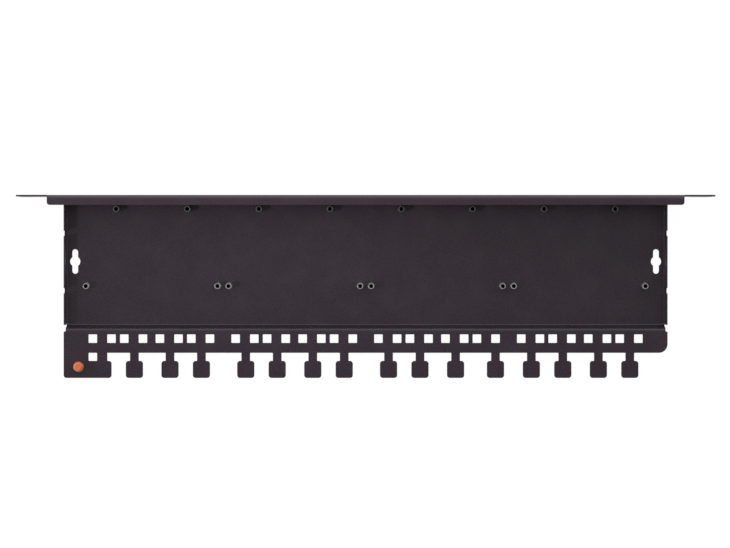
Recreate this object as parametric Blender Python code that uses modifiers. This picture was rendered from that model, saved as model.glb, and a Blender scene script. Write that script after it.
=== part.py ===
"""Unloaded frame of a 16-channel audio patch bay, one rack unit high.

A folded front panel with rack ears carries a folded tray. The tray holds press-in standoffs for four
jack boards, and ends at the back in a raised comb where the cables are tied down, with a stud for the
ground lead. Lengths are in metres, +Z is up, the front faces -Y, and the origin is at the middle of the
underside.
"""

import math

import bmesh
import bpy
import numpy as np

# Sheet metal
SHEET = 0.0012
BEND_RADIUS = 0.0010          # inside radius of every fold
BEND_STRIPS = 4               # flat strips that make up one fold
CORNER_STEPS = 3              # straight steps in a rounded corner
RELIEF_SLIT = 0.0003          # saw cut between the ends of neighbouring folds
RELIEF_BITE = 0.0003          # how far the cut reaches in past the start of a fold

# Fits
SEAT_GAP = 0.0003             # between two faces that touch
CLINCH_GAP = 0.00015          # round a standoff pressed into the floor
THREAD_GAP = 0.00015          # between a stud and its nut
STUD_HOLE_GAP = 0.0004        # round a stud's weld flange in the tray

# Boards and channels, measured along the width
MODULE_COUNT = 4
MODULE_PITCH = 0.0995
INNER_CHANNEL = 0.0124        # from the middle of a module
OUTER_CHANNEL = 0.0343
FRONT_STANDOFF = 0.0248
REAR_STANDOFF = 0.0459

# Front panel
PANEL_HEIGHT = 0.0437
EAR_REACH = 0.0215            # past the end of the top flange
EAR_RADIUS = 0.0025
FLANGE_DEPTH = 0.0070         # from the front face
FLANGE_OVERHANG = 0.0094      # past the side of the tray
FLANGE_RADIUS = 0.0020
RACK_HOLE_INSET = 0.00875     # from the end of the ear
RACK_HOLE_SPACING = 0.03175
RACK_HOLE_LENGTH = 0.0103
RACK_HOLE_HEIGHT = 0.0068
RACK_HOLE_STEPS = 8           # straight steps round one end
JACK_HOLE = 0.0115            # diameter
JACK_HEIGHT = 0.02185
JACK_HOLE_SIDES = 20

# Tray, depths measured from the front face of the panel
EDGE_HEIGHT = 0.0120          # of every folded edge, and of the comb
SIDE_MARGIN = 0.0114          # from the outer modules to the outside of the side walls
END_INSET = 0.0014            # of the front and rear folds, from the outside of the side walls
EDGE_RADIUS = 0.0010
REAR_WALL_DEPTH = 0.0913
COMB_SHOULDER = 0.0037        # from the rear wall to where the comb widens

# Side walls, with two notches each
NOTCH_ROW_DEPTH = 0.0465      # halfway between the two notches
NOTCH_SPACING = 0.0400
NOTCH_WIDTH = 0.0036
NOTCH_FOOT = 0.0026           # from the underside to the bottom of a notch, just above the fold
NOTCH_OVERRUN = 0.0003        # of the cut past the faces of the wall
NOTCH_STEPS = 6

# Keyholes for hanging on a wall
KEYHOLE_INSET = 0.0074        # from the outside of the tray
KEYHOLE_DEPTH = 0.0462
KEYHOLE_HEAD = 0.0071
KEYHOLE_SLOT = 0.0040
KEYHOLE_LENGTH = 0.0171
KEYHOLE_STEPS = 6

# Comb, behind the rear wall
TIE_SLOT = 0.0059
TIE_SLOT_SPREAD = 0.0130      # between the two slots of a pair
TIE_SLOT_SETBACK = 0.00565
STRIP_DEPTH = 0.0185
NECK_LENGTH = 0.0056
NECK_WIDTH = 0.0061
HEAD_LENGTH = 0.0119
HEAD_WIDTH = 0.0120
HEAD_RADIUS = 0.0020
FINGER_OFFSET = -0.00055      # of each finger from the middle of its slots
ODD_FINGER = 12               # counted from the ground stud
ODD_FINGER_OFFSET = -0.0059
STRIP_RADIUS = 0.0060

# Standoffs
STANDOFF_HEIGHT = 0.0080
STANDOFF_BARREL = 0.0043
STANDOFF_BORE = 0.0026
BORE_FLOOR = 0.0017           # metal left under the blind bore
STANDOFF_CHAMFER = 0.0002
STANDOFF_SIDES = 12
CLINCH_HEAD = 0.0056          # across flats
CLINCH_HEAD_HEIGHT = 0.0007
CLINCH_RECESS = 0.0001        # of the barrel's foot in its head
FRONT_ROW_DEPTH = 0.0095
REAR_ROW_DEPTH = 0.0633

# Ground stud
GROUND_STUD_INSET = 0.0105    # from the end of the comb
GROUND_STUD_SETBACK = 0.0078  # from the ends of the fingers
GROUND_STUD_LENGTH = 0.0120
GROUND_STUD_THREAD = 0.0060
GROUND_STUD_FLANGE = 0.0072
GROUND_STUD_FOOT = 0.0009
GROUND_STUD_CHAMFER = 0.0005

# Studs and nuts that hold the panel
PANEL_STUD_LENGTH = 0.0050
PANEL_STUD_THREAD = 0.0030
PANEL_STUD_FLANGE = 0.0042
PANEL_STUD_FOOT = 0.0006
PANEL_STUD_CHAMFER = 0.0003
END_STUD_INSET = 0.0160       # from the outside of the tray
NUT_FLATS = 0.0055
NUT_HEIGHT = 0.0024
NUT_FLANGE = 0.0070
NUT_FLANGE_HEIGHT = 0.0008
NUT_RECESS = 0.0002           # of the hexagon's foot in its flange
STUD_SIDES = 16

# Worked out from the sizes above
QUARTER = math.pi / 2
MID_RADIUS = BEND_RADIUS + SHEET / 2
TRAY_HALF = MODULE_COUNT * MODULE_PITCH / 2 + SIDE_MARGIN
FLANGE_HALF = TRAY_HALF + FLANGE_OVERHANG
PANEL_HALF = FLANGE_HALF + EAR_REACH
FOLD_HALF = TRAY_HALF - END_INSET
STRIP_END = REAR_WALL_DEPTH + STRIP_DEPTH
HEAD_START = STRIP_END + NECK_LENGTH
TOTAL_DEPTH = HEAD_START + HEAD_LENGTH
UPSTAND_DEPTH = SHEET + SEAT_GAP + SHEET / 2
FLOOR_FRONT = UPSTAND_DEPTH + MID_RADIUS
FLOOR_REAR = REAR_WALL_DEPTH - BEND_RADIUS
COMB_FRONT = FLOOR_REAR + 2 * MID_RADIUS
SIDE_FRONT = FLOOR_FRONT + 2 * RELIEF_SLIT
SIDE_REAR = FLOOR_REAR - 2 * RELIEF_SLIT
SIDE_BEND = TRAY_HALF - SHEET / 2 - MID_RADIUS
FOLD_TOP = SHEET / 2 + MID_RADIUS
PANEL_STUD_HEIGHT = (FOLD_TOP + EDGE_HEIGHT) / 2
TOLERANCE = 1e-6
SMOOTH_ANGLE = math.radians(40)

MODULES = [(i - (MODULE_COUNT - 1) / 2) * MODULE_PITCH for i in range(MODULE_COUNT)]
CHANNELS = sorted(
    module + side * offset
    for module in MODULES
    for offset in (INNER_CHANNEL, OUTER_CHANNEL)
    for side in (-1, 1)
)


def standoff_places():
    """(x, depth) of each standoff, the front row first."""
    places = []
    for offset, depth in ((FRONT_STANDOFF, FRONT_ROW_DEPTH), (REAR_STANDOFF, REAR_ROW_DEPTH)):
        places += [(module + side * offset, depth) for module in MODULES for side in (-1, 1)]
    return places


def panel_stud_places():
    """Along the width: between the modules, and near each end of the tray."""
    between = [(left + right) / 2 for left, right in zip(MODULES, MODULES[1:])]
    end = TRAY_HALF - END_STUD_INSET
    return [-end] + between + [end]


# Scene helpers


def clear_scene():
    for obj in list(bpy.data.objects):
        bpy.data.objects.remove(obj, do_unlink=True)


def new_collection(name):
    collection = bpy.data.collections.new(name)
    bpy.context.scene.collection.children.link(collection)
    return collection


def new_material(name, colour, roughness, metallic):
    material = bpy.data.materials.new(name)
    material.use_nodes = True
    shader = material.node_tree.nodes["Principled BSDF"]
    shader.inputs["Base Color"].default_value = (*colour, 1.0)
    shader.inputs["Roughness"].default_value = roughness
    shader.inputs["Metallic"].default_value = metallic
    return material


def new_object(name, data, collection):
    obj = bpy.data.objects.new(name, data)
    collection.objects.link(obj)
    return obj


def mesh_of(name, shape):
    """A mesh of a bmesh, with its faces turned out."""
    bmesh.ops.recalc_face_normals(shape, faces=shape.faces)
    mesh = bpy.data.meshes.new(name)
    shape.to_mesh(mesh)
    shape.free()
    return mesh


def evaluated_mesh(obj):
    """The object's shape with its modifiers applied, with the object itself taken away."""
    bpy.context.view_layer.update()
    graph = bpy.context.evaluated_depsgraph_get()
    mesh = bpy.data.meshes.new_from_object(obj.evaluated_get(graph))
    bpy.data.objects.remove(obj, do_unlink=True)
    return mesh


def new_cutter(name, shape, cutters):
    cutter = new_object(name, mesh_of(name, shape), cutters)
    cutter.hide_render = True
    cutter.display_type = "WIRE"
    return cutter


def finish_mesh(mesh, name, material):
    mesh.name = name
    mesh.materials.clear()
    mesh.materials.append(material)
    mesh.shade_smooth()
    mesh.set_sharp_from_angle(angle=SMOOTH_ANGLE)
    return mesh


# Outlines


def arc(x, y, radius, start, end, steps):
    angles = [start + (end - start) * step / steps for step in range(steps + 1)]
    return [(x + radius * math.cos(a), y + radius * math.sin(a)) for a in angles]


def circle(x, y, diameter, sides):
    return arc(x, y, diameter / 2, 0, 2 * math.pi, sides)[:-1]


def hexagon(flats):
    """A hexagon about the origin with a corner on +Y."""
    corner = flats / 2 / math.cos(math.pi / 6)
    return arc(0, 0, corner, QUARTER, QUARTER + 2 * math.pi, 6)[:-1]


def rectangle(x, y, width, height):
    return [(x + i * width / 2, y + j * height / 2) for i, j in ((-1, -1), (1, -1), (1, 1), (-1, 1))]


def slot(x, y, length, height, steps):
    """A slot along x with round ends."""
    reach = (length - height) / 2
    right = arc(x + reach, y, height / 2, -QUARTER, QUARTER, steps)
    left = arc(x - reach, y, height / 2, QUARTER, 3 * QUARTER, steps)
    return right + left


def keyhole(x, y):
    """A round head in the middle of a slot along y, so that it hangs either way up."""
    half = KEYHOLE_SLOT / 2
    head = KEYHOLE_HEAD / 2
    reach = KEYHOLE_LENGTH / 2 - half
    mouth = math.asin(half / head)
    right = arc(x, y, head, mouth - QUARTER, QUARTER - mouth, KEYHOLE_STEPS)
    top = arc(x, y + reach, half, 0, math.pi, KEYHOLE_STEPS)
    left = arc(x, y, head, QUARTER + mouth, 3 * QUARTER - mouth, KEYHOLE_STEPS)
    bottom = arc(x, y - reach, half, math.pi, 2 * math.pi, KEYHOLE_STEPS)
    return right + top + left + bottom


def round_corners(corners):
    """Points of a closed outline whose corners are (x, y, radius)."""
    points = []
    for index, (x, y, radius) in enumerate(corners):
        if radius <= 0:
            points.append((x, y))
            continue
        corner = np.array((x, y))
        before = np.array(corners[index - 1][:2]) - corner
        after = np.array(corners[(index + 1) % len(corners)][:2]) - corner
        before /= np.linalg.norm(before)
        after /= np.linalg.norm(after)
        half_angle = math.acos(before @ after) / 2
        inward = (before + after) / np.linalg.norm(before + after)
        centre = corner + inward * radius / math.sin(half_angle)
        start = math.atan2(*(corner + before * radius / math.tan(half_angle) - centre)[::-1])
        end = math.atan2(*(corner + after * radius / math.tan(half_angle) - centre)[::-1])
        sweep = (end - start + math.pi) % (2 * math.pi) - math.pi
        points += arc(*centre, radius, start, start + sweep, CORNER_STEPS)
    return points


def mirrored(corners):
    """The corners on the other side of x = 0, in the order that carries an outline on."""
    return [(-x, y, radius) for x, y, radius in reversed(corners)]


# Folded sheet


def flat_sheet(outlines, thickness=0.0):
    """A mesh of the first outline with the others as holes in it, cut from a 2D curve."""
    curve = bpy.data.curves.new("outline", "CURVE")
    curve.dimensions = "2D"
    curve.fill_mode = "BOTH"
    curve.extrude = thickness / 2
    for outline in outlines:
        spline = curve.splines.new("POLY")
        spline.points.add(len(outline) - 1)
        for point, (x, y) in zip(spline.points, outline):
            point.co = (x, y, 0, 1)
        spline.use_cyclic_u = True
    mesh = evaluated_mesh(new_object("outline", curve, bpy.context.scene.collection))
    bpy.data.curves.remove(curve)
    shape = bmesh.new()
    shape.from_mesh(mesh)
    bpy.data.meshes.remove(mesh)
    bmesh.ops.remove_doubles(shape, verts=shape.verts, dist=TOLERANCE)
    bmesh.ops.beautify_fill(shape, faces=shape.faces, edges=shape.edges, method="ANGLE")
    return mesh_of("flat_sheet", shape)


def add_flat(shape, outlines, place):
    """Add one flat of a folded sheet; place gives the position of a point of its outlines."""
    mesh = flat_sheet(outlines)
    for vert in mesh.vertices:
        vert.co = place(vert.co.x, vert.co.y)
    shape.from_mesh(mesh)
    bpy.data.meshes.remove(mesh)


def add_fold(shape, first, last, centre, axis):
    """Add a quarter turn from the edge between two points, about an axis through centre."""
    edge = shape.edges.new((shape.verts.new(first), shape.verts.new(last)))
    bmesh.ops.spin(
        shape, geom=[edge, *edge.verts], cent=centre, axis=axis, angle=QUARTER, steps=BEND_STRIPS
    )


def sheet_piece(name, shape, collection, material):
    """One object of the flats and folds in shape, which are the middle of the sheet."""
    bmesh.ops.remove_doubles(shape, verts=shape.verts, dist=TOLERANCE)
    bmesh.ops.translate(shape, verts=shape.verts, vec=(0, -TOTAL_DEPTH / 2, 0))
    mesh = mesh_of(name, shape)
    mesh.materials.append(material)
    piece = new_object(name, mesh, collection)
    wall = piece.modifiers.new("sheet", "SOLIDIFY")
    wall.thickness = SHEET
    wall.offset = 0
    wall.use_even_offset = True
    wall.use_quality_normals = True
    return piece


def make_front_panel(collection, material):
    bend_height = PANEL_HEIGHT - SHEET / 2 - MID_RADIUS
    slit_foot = bend_height - RELIEF_BITE
    ear_side = FLANGE_HALF + RELIEF_SLIT
    right = [
        (PANEL_HALF, 0, EAR_RADIUS),
        (PANEL_HALF, PANEL_HEIGHT, EAR_RADIUS),
        (ear_side, PANEL_HEIGHT, 0),
        (ear_side, slit_foot, 0),
        (FLANGE_HALF, slit_foot, 0),
        (FLANGE_HALF, bend_height, 0),
    ]
    rack_holes = [
        slot(x, PANEL_HEIGHT / 2 + z, RACK_HOLE_LENGTH, RACK_HOLE_HEIGHT, RACK_HOLE_STEPS)
        for x in (RACK_HOLE_INSET - PANEL_HALF, PANEL_HALF - RACK_HOLE_INSET)
        for z in (-RACK_HOLE_SPACING / 2, RACK_HOLE_SPACING / 2)
    ]
    jack_holes = [circle(x, JACK_HEIGHT, JACK_HOLE, JACK_HOLE_SIDES) for x in CHANNELS]
    face_depth = SHEET / 2
    flange_front = face_depth + MID_RADIUS
    flange_height = PANEL_HEIGHT - SHEET / 2
    flange = [
        (-FLANGE_HALF, flange_front, 0),
        (FLANGE_HALF, flange_front, 0),
        (FLANGE_HALF, FLANGE_DEPTH, FLANGE_RADIUS),
        (-FLANGE_HALF, FLANGE_DEPTH, FLANGE_RADIUS),
    ]

    shape = bmesh.new()
    face = [round_corners(right + mirrored(right))] + rack_holes + jack_holes
    add_flat(shape, face, lambda x, z: (x, face_depth, z))
    add_flat(shape, [round_corners(flange)], lambda x, depth: (x, depth, flange_height))
    add_fold(
        shape,
        (-FLANGE_HALF, face_depth, bend_height),
        (FLANGE_HALF, face_depth, bend_height),
        (0, flange_front, bend_height),
        (-1, 0, 0),
    )
    return sheet_piece("front_panel", shape, collection, material)


def floor_outlines():
    slit = SIDE_BEND - RELIEF_BITE
    right = [
        (FOLD_HALF, FLOOR_FRONT, 0),
        (FOLD_HALF, FLOOR_FRONT + RELIEF_SLIT, 0),
        (slit, FLOOR_FRONT + RELIEF_SLIT, 0),
        (slit, SIDE_FRONT, 0),
        (SIDE_BEND, SIDE_FRONT, 0),
        (SIDE_BEND, SIDE_REAR, 0),
        (slit, SIDE_REAR, 0),
        (slit, FLOOR_REAR - RELIEF_SLIT, 0),
        (FOLD_HALF, FLOOR_REAR - RELIEF_SLIT, 0),
        (FOLD_HALF, FLOOR_REAR, 0),
    ]
    keyhole_x = TRAY_HALF - KEYHOLE_INSET
    barrel_hole = STANDOFF_BARREL + 2 * CLINCH_GAP
    holes = [keyhole(side * keyhole_x, KEYHOLE_DEPTH) for side in (-1, 1)]
    holes += [circle(x, depth, barrel_hole, STANDOFF_SIDES) for x, depth in standoff_places()]
    return [round_corners(right + mirrored(right))] + holes


def side_wall_outline():
    """(depth, height) of a side wall above its fold."""
    corners = [
        (SIDE_REAR, FOLD_TOP, 0),
        (SIDE_REAR, EDGE_HEIGHT, EDGE_RADIUS),
        (SIDE_FRONT, EDGE_HEIGHT, EDGE_RADIUS),
        (SIDE_FRONT, FOLD_TOP, 0),
    ]
    return round_corners(corners)


def upstand_outlines():
    """The front edge that stands against the panel, with holes for the panel's studs."""
    corners = [
        (-FOLD_HALF, FOLD_TOP, 0),
        (FOLD_HALF, FOLD_TOP, 0),
        (FOLD_HALF, EDGE_HEIGHT, EDGE_RADIUS),
        (-FOLD_HALF, EDGE_HEIGHT, EDGE_RADIUS),
    ]
    stud_hole = PANEL_STUD_FLANGE + 2 * STUD_HOLE_GAP
    holes = [circle(x, PANEL_STUD_HEIGHT, stud_hole, STUD_SIDES) for x in panel_stud_places()]
    return [round_corners(corners)] + holes


def comb_outlines():
    """The raised strip with its tie slots and fingers, and the ground plate at its +X end."""
    shoulder = REAR_WALL_DEPTH + COMB_SHOULDER
    corners = [
        (-FOLD_HALF, COMB_FRONT, 0),
        (FOLD_HALF, COMB_FRONT, 0),
        (FOLD_HALF, shoulder, 0),
        (TRAY_HALF, shoulder, 0),
        (TRAY_HALF, TOTAL_DEPTH, HEAD_RADIUS),
    ]
    for number, channel in enumerate(reversed(CHANNELS), start=1):
        corners += finger_corners(number, channel)
    corners += [(-TRAY_HALF, STRIP_END, STRIP_RADIUS), (-TRAY_HALF, shoulder, 0), (-FOLD_HALF, shoulder, 0)]

    slot_row = REAR_WALL_DEPTH + TIE_SLOT_SETBACK + TIE_SLOT / 2
    slots = [
        rectangle(channel + side * TIE_SLOT_SPREAD / 2, slot_row, TIE_SLOT, TIE_SLOT)
        for channel in CHANNELS
        for side in (-1, 1)
    ]
    plate_slot = CHANNELS[-1] + TIE_SLOT_SPREAD / 2
    slots.append(rectangle(plate_slot, STRIP_END + NECK_LENGTH / 2, TIE_SLOT, NECK_LENGTH))
    return [round_corners(corners)] + slots


def finger_corners(number, channel):
    """One finger from its +X side to its -X side; the first one's +X side is the ground plate."""
    middle = channel + FINGER_OFFSET
    if number == ODD_FINGER:
        middle += ODD_FINGER_OFFSET
    half = [
        (NECK_WIDTH / 2, STRIP_END, 0),
        (NECK_WIDTH / 2, HEAD_START, 0),
        (HEAD_WIDTH / 2, HEAD_START, HEAD_RADIUS),
        (HEAD_WIDTH / 2, TOTAL_DEPTH, HEAD_RADIUS),
    ]
    corners = mirrored(half) if number == 1 else half + mirrored(half)
    return [(middle + x, depth, radius) for x, depth, radius in corners]


def make_tray(collection, cutters, material):
    floor_height = SHEET / 2
    comb_height = EDGE_HEIGHT - SHEET / 2
    rear_wall_depth = REAR_WALL_DEPTH + SHEET / 2
    wall_x = TRAY_HALF - SHEET / 2
    wall_top = comb_height - MID_RADIUS

    shape = bmesh.new()
    add_flat(shape, floor_outlines(), lambda x, depth: (x, depth, floor_height))
    add_flat(shape, upstand_outlines(), lambda x, z: (x, UPSTAND_DEPTH, z))
    rear_wall = rectangle(0, (FOLD_TOP + wall_top) / 2, 2 * FOLD_HALF, wall_top - FOLD_TOP)
    add_flat(shape, [rear_wall], lambda x, z: (x, rear_wall_depth, z))
    add_flat(shape, comb_outlines(), lambda x, depth: (x, depth, comb_height))
    add_fold(
        shape,
        (-FOLD_HALF, FLOOR_FRONT, floor_height),
        (FOLD_HALF, FLOOR_FRONT, floor_height),
        (0, FLOOR_FRONT, FOLD_TOP),
        (-1, 0, 0),
    )
    add_fold(
        shape,
        (-FOLD_HALF, FLOOR_REAR, floor_height),
        (FOLD_HALF, FLOOR_REAR, floor_height),
        (0, FLOOR_REAR, FOLD_TOP),
        (1, 0, 0),
    )
    add_fold(
        shape,
        (-FOLD_HALF, rear_wall_depth, wall_top),
        (FOLD_HALF, rear_wall_depth, wall_top),
        (0, COMB_FRONT, wall_top),
        (-1, 0, 0),
    )
    for side in (-1, 1):
        add_flat(shape, [side_wall_outline()], lambda depth, z: (side * wall_x, depth, z))
        add_fold(
            shape,
            (side * SIDE_BEND, SIDE_FRONT, floor_height),
            (side * SIDE_BEND, SIDE_REAR, floor_height),
            (side * SIDE_BEND, 0, FOLD_TOP),
            (0, -side, 0),
        )
    tray = sheet_piece("tray", shape, collection, material)
    for name, make_cutter in (("notches", make_notches), ("clinch pockets", make_clinch_pockets)):
        cut = tray.modifiers.new(name, "BOOLEAN")
        cut.operation = "DIFFERENCE"
        cut.object = make_cutter(cutters)
    return tray


def make_notches(cutters):
    """Notches with round bottoms, cut down the side walls."""
    half = NOTCH_WIDTH / 2
    top = EDGE_HEIGHT + NOTCH_WIDTH
    shape = bmesh.new()
    for end in (-1, 1):
        depth = NOTCH_ROW_DEPTH + end * NOTCH_SPACING / 2 - TOTAL_DEPTH / 2
        bottom = arc(depth, NOTCH_FOOT + half, half, -math.pi, 0, NOTCH_STEPS)
        outline = bottom + [(depth + half, top), (depth - half, top)]
        for side in (-1, 1):
            mesh = flat_sheet([outline], SHEET + 2 * NOTCH_OVERRUN)
            for vert in mesh.vertices:
                y, z, x = vert.co
                vert.co = (side * (TRAY_HALF - SHEET / 2) + x, y, z)
            shape.from_mesh(mesh)
            bpy.data.meshes.remove(mesh)
    return new_cutter("notches", shape, cutters)


def make_clinch_pockets(cutters):
    """Hexagonal pockets in the underside, where the standoffs' heads are pressed in."""
    shape = bmesh.new()
    corner = (CLINCH_HEAD / 2 + CLINCH_GAP) / math.cos(math.pi / 6)
    top = CLINCH_HEAD_HEIGHT + CLINCH_GAP
    for x, depth in standoff_places():
        pocket = bmesh.ops.create_cone(
            shape, cap_ends=True, segments=6, radius1=corner, radius2=corner, depth=2 * top
        )
        bmesh.ops.translate(shape, verts=pocket["verts"], vec=(x, depth - TOTAL_DEPTH / 2, 0))
    return new_cutter("clinch_pockets", shape, cutters)


# Turned and pressed pieces


def turned(name, profile, sides):
    """A mesh turned about Z from (radius, height) points, top to bottom down its outer side."""
    mesh = bpy.data.meshes.new(name)
    edges = [(i, i + 1) for i in range(len(profile) - 1)]
    if profile[0][0] > 0:
        edges.append((len(profile) - 1, 0))
    mesh.from_pydata([(radius, 0, height) for radius, height in profile], edges, [])
    guide = new_object(name, mesh, bpy.context.scene.collection)
    screw = guide.modifiers.new("turn", "SCREW")
    screw.steps = sides
    screw.render_steps = sides
    screw.use_merge_vertices = True
    screw.merge_threshold = TOLERANCE
    result = evaluated_mesh(guide)
    bpy.data.meshes.remove(mesh)
    return result


def hexagon_plate(flats, base, top, holes=()):
    """A hexagonal plate between two heights."""
    mesh = flat_sheet([hexagon(flats), *holes], top - base)
    for vert in mesh.vertices:
        vert.co.z += (base + top) / 2
    return mesh


def joined(first, second):
    """One mesh of two that overlap."""
    base = new_object("base", first, bpy.context.scene.collection)
    other = new_object("other", second, bpy.context.scene.collection)
    union = base.modifiers.new("join", "BOOLEAN")
    union.operation = "UNION"
    union.object = other
    result = evaluated_mesh(base)
    bpy.data.objects.remove(other, do_unlink=True)
    return result


def standoff_mesh(material):
    """Round barrel on a closed hexagonal clinch head, with a blind bore; its origin is on the floor."""
    outer = STANDOFF_BARREL / 2
    bore = STANDOFF_BORE / 2
    shoulder = STANDOFF_HEIGHT - STANDOFF_CHAMFER
    floor = BORE_FLOOR - SHEET
    foot = CLINCH_RECESS - SHEET
    barrel = [
        (0, floor),
        (bore, floor),
        (bore, shoulder),
        (bore + STANDOFF_CHAMFER, STANDOFF_HEIGHT),
        (outer - STANDOFF_CHAMFER, STANDOFF_HEIGHT),
        (outer, shoulder),
        (outer, foot),
        (0, foot),
    ]
    head = hexagon_plate(CLINCH_HEAD, -SHEET, CLINCH_HEAD_HEIGHT - SHEET)
    mesh = joined(turned("barrel", barrel, STANDOFF_SIDES), head)
    return finish_mesh(mesh, "standoff", material)


def stud_mesh(name, length, thread, flange, foot, chamfer, material):
    """Weld stud along Z, standing on its flange."""
    profile = [
        (0, length),
        (thread / 2 - chamfer, length),
        (thread / 2, length - chamfer),
        (thread / 2, foot),
        (flange / 2, foot),
        (flange / 2, 0),
        (0, 0),
    ]
    return finish_mesh(turned(name, profile, STUD_SIDES), name, material)


def nut_mesh(material):
    """Flange nut along Z, standing on its flange."""
    bore = PANEL_STUD_THREAD / 2 + THREAD_GAP
    inner = (NUT_FLATS / 2 + bore) / 2
    collar = [
        (inner, NUT_FLANGE_HEIGHT),
        (NUT_FLANGE / 2, NUT_FLANGE_HEIGHT),
        (NUT_FLANGE / 2, 0),
        (inner, 0),
    ]
    body = hexagon_plate(NUT_FLATS, NUT_RECESS, NUT_HEIGHT, [circle(0, 0, 2 * bore, STUD_SIDES)])
    mesh = joined(turned("collar", collar, STUD_SIDES), body)
    return finish_mesh(mesh, "panel_nut", material)


def make_standoffs(collection, material):
    mesh = standoff_mesh(material)
    places = standoff_places()
    row_length = len(places) // 2
    standoffs = []
    for index, (x, depth) in enumerate(places):
        row = "front" if index < row_length else "rear"
        standoff = new_object(f"standoff_{row}_{index % row_length + 1}", mesh, collection)
        standoff.location = (x, depth - TOTAL_DEPTH / 2, SHEET)
        standoffs.append(standoff)
    return standoffs


def make_ground_stud(collection, material):
    mesh = stud_mesh(
        "ground_stud",
        GROUND_STUD_LENGTH,
        GROUND_STUD_THREAD,
        GROUND_STUD_FLANGE,
        GROUND_STUD_FOOT,
        GROUND_STUD_CHAMFER,
        material,
    )
    stud = new_object("ground_stud", mesh, collection)
    depth = TOTAL_DEPTH - GROUND_STUD_SETBACK
    stud.location = (TRAY_HALF - GROUND_STUD_INSET, depth - TOTAL_DEPTH / 2, EDGE_HEIGHT + SEAT_GAP)
    return stud


def make_panel_fasteners(collection, stud_material, nut_material):
    stud = stud_mesh(
        "panel_stud",
        PANEL_STUD_LENGTH,
        PANEL_STUD_THREAD,
        PANEL_STUD_FLANGE,
        PANEL_STUD_FOOT,
        PANEL_STUD_CHAMFER,
        stud_material,
    )
    nut = nut_mesh(nut_material)
    stud_depth = SHEET + SEAT_GAP
    nut_depth = UPSTAND_DEPTH + SHEET / 2 + SEAT_GAP
    fasteners = []
    for index, x in enumerate(panel_stud_places(), start=1):
        for name, mesh, depth in (("panel_stud", stud, stud_depth), ("panel_nut", nut, nut_depth)):
            fastener = new_object(f"{name}_{index}", mesh, collection)
            fastener.location = (x, depth - TOTAL_DEPTH / 2, PANEL_STUD_HEIGHT)
            fastener.rotation_euler = (-QUARTER, 0, 0)
            fasteners.append(fastener)
    return fasteners


def main():
    clear_scene()
    bay = new_collection("audio_patch_bay")
    cutters = new_collection("cutters")
    panel_coat = new_material("panel_powder_coat", (0.052, 0.043, 0.048), 0.55, 0.0)
    tray_coat = new_material("tray_powder_coat", (0.040, 0.033, 0.038), 0.55, 0.0)
    zinc = new_material("zinc_plate", (0.55, 0.55, 0.57), 0.35, 1.0)
    nut_zinc = new_material("nut_zinc_plate", (0.60, 0.60, 0.61), 0.30, 1.0)
    copper = new_material("copper_plate", (0.72, 0.30, 0.16), 0.35, 1.0)
    stud_copper = new_material("panel_stud_copper_plate", (0.72, 0.30, 0.16), 0.40, 1.0)

    pieces = [make_front_panel(bay, panel_coat), make_tray(bay, cutters, tray_coat)]
    pieces += make_standoffs(bay, zinc)
    pieces.append(make_ground_stud(bay, copper))
    pieces += make_panel_fasteners(bay, stud_copper, nut_zinc)

    frame = new_object("patch_bay_frame", None, bay)
    for piece in pieces:
        piece.parent = frame


main()
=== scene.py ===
"""Looks of the unloaded frame of an audio patch bay.

The panel and the tray are cut as flat blanks with rounded rims and then folded, as the real sheets are.
The standoffs and studs are turned with their threads, and the nuts with a plain bore. Lengths are in
metres, in the frame of the
solids: +Z is up, the front faces -Y, and a depth is measured back from the front face of the panel.
"""

import math

import bmesh
import bpy
import numpy as np
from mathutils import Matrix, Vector, geometry


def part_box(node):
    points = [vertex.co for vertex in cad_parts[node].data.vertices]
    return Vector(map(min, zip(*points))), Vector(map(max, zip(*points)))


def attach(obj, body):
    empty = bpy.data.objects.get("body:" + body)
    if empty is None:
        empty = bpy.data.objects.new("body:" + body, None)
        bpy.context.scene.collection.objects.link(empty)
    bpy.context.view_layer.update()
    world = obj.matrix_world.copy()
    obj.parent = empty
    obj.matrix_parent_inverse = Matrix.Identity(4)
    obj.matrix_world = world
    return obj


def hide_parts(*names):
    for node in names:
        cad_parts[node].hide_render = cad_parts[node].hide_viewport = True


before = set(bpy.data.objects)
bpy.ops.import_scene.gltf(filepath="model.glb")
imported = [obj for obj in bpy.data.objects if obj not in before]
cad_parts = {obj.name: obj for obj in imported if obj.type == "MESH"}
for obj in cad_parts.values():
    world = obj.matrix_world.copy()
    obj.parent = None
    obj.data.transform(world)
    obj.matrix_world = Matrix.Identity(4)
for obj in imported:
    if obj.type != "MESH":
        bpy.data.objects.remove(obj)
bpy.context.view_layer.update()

# Places and sizes taken from the frame
PANEL_LOW, PANEL_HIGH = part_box("front_panel")
TRAY_LOW, TRAY_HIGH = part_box("tray")
FRONT = PANEL_LOW.y
PANEL_HALF = PANEL_HIGH.x
PANEL_HEIGHT = PANEL_HIGH.z
FLANGE_DEPTH = PANEL_HIGH.y - FRONT
TRAY_HALF = TRAY_HIGH.x
TRAY_FRONT = TRAY_LOW.y - FRONT
TRAY_REAR = TRAY_HIGH.y - FRONT
EDGE_HEIGHT = TRAY_HIGH.z
STANDOFFS = [f"standoff_{row}_{number}" for row in ("front", "rear") for number in range(1, 9)]
PANEL_STUDS = [f"panel_stud_{number}" for number in range(1, 6)]
PANEL_NUTS = [f"panel_nut_{number}" for number in range(1, 6)]

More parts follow.
